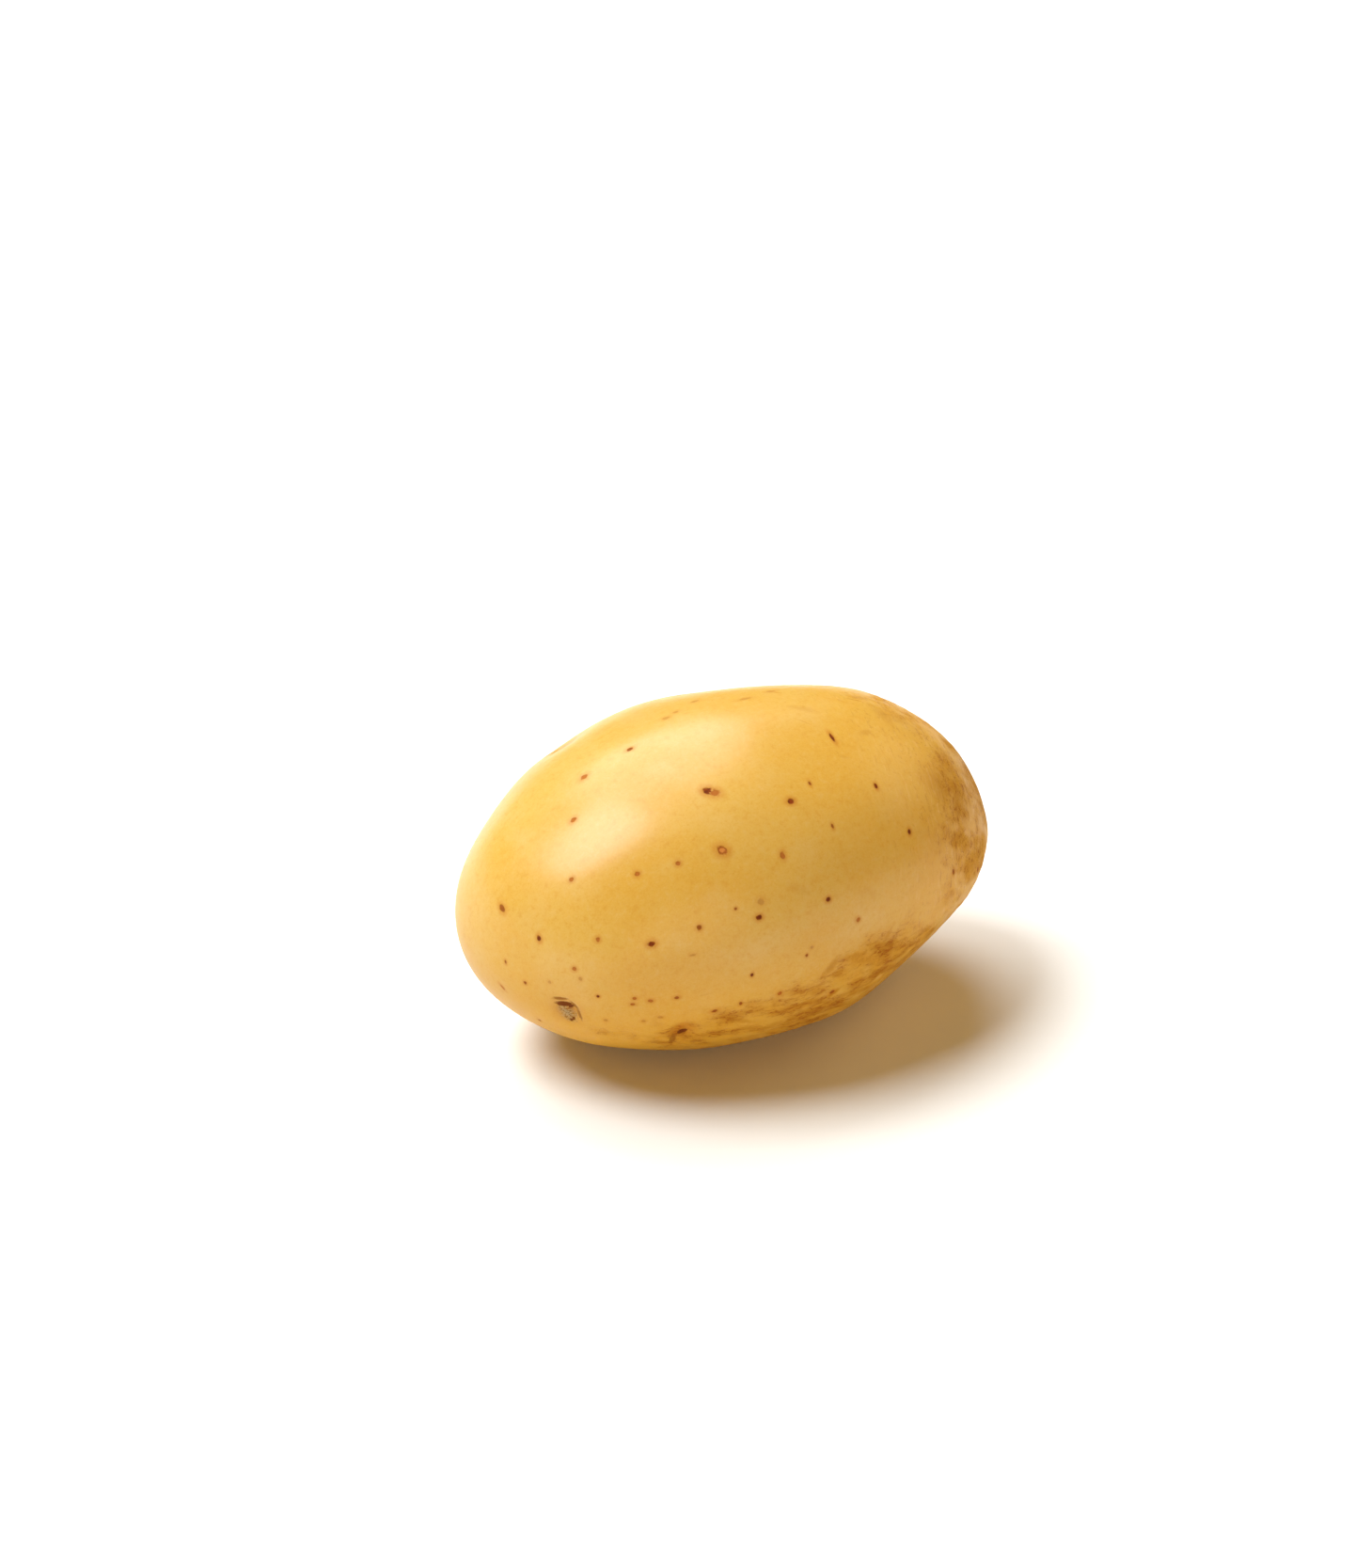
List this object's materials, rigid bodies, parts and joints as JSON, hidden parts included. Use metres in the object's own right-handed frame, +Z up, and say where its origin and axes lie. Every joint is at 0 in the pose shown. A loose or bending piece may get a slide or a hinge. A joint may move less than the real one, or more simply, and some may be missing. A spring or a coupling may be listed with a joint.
{
  "type": "potato",
  "caption": "Whole raw potato, an oval tuber with smooth waxy yellow skin, shallow eyes and a small flat on its belly to lie on.",
  "frame": {"origin": "on the surface the tuber rests on, under the middle of its length and width", "axes": "+Z up; X along the tuber, from the fuller stem end at -X to the rougher rose end at +X; -Y is its front"},
  "size_m": [0.095, 0.0654, 0.0551],
  "materials": {
    "skin": null
  },
  "bodies": {
    "root": {"potato": "skin"}
  },
  "joints": []
}
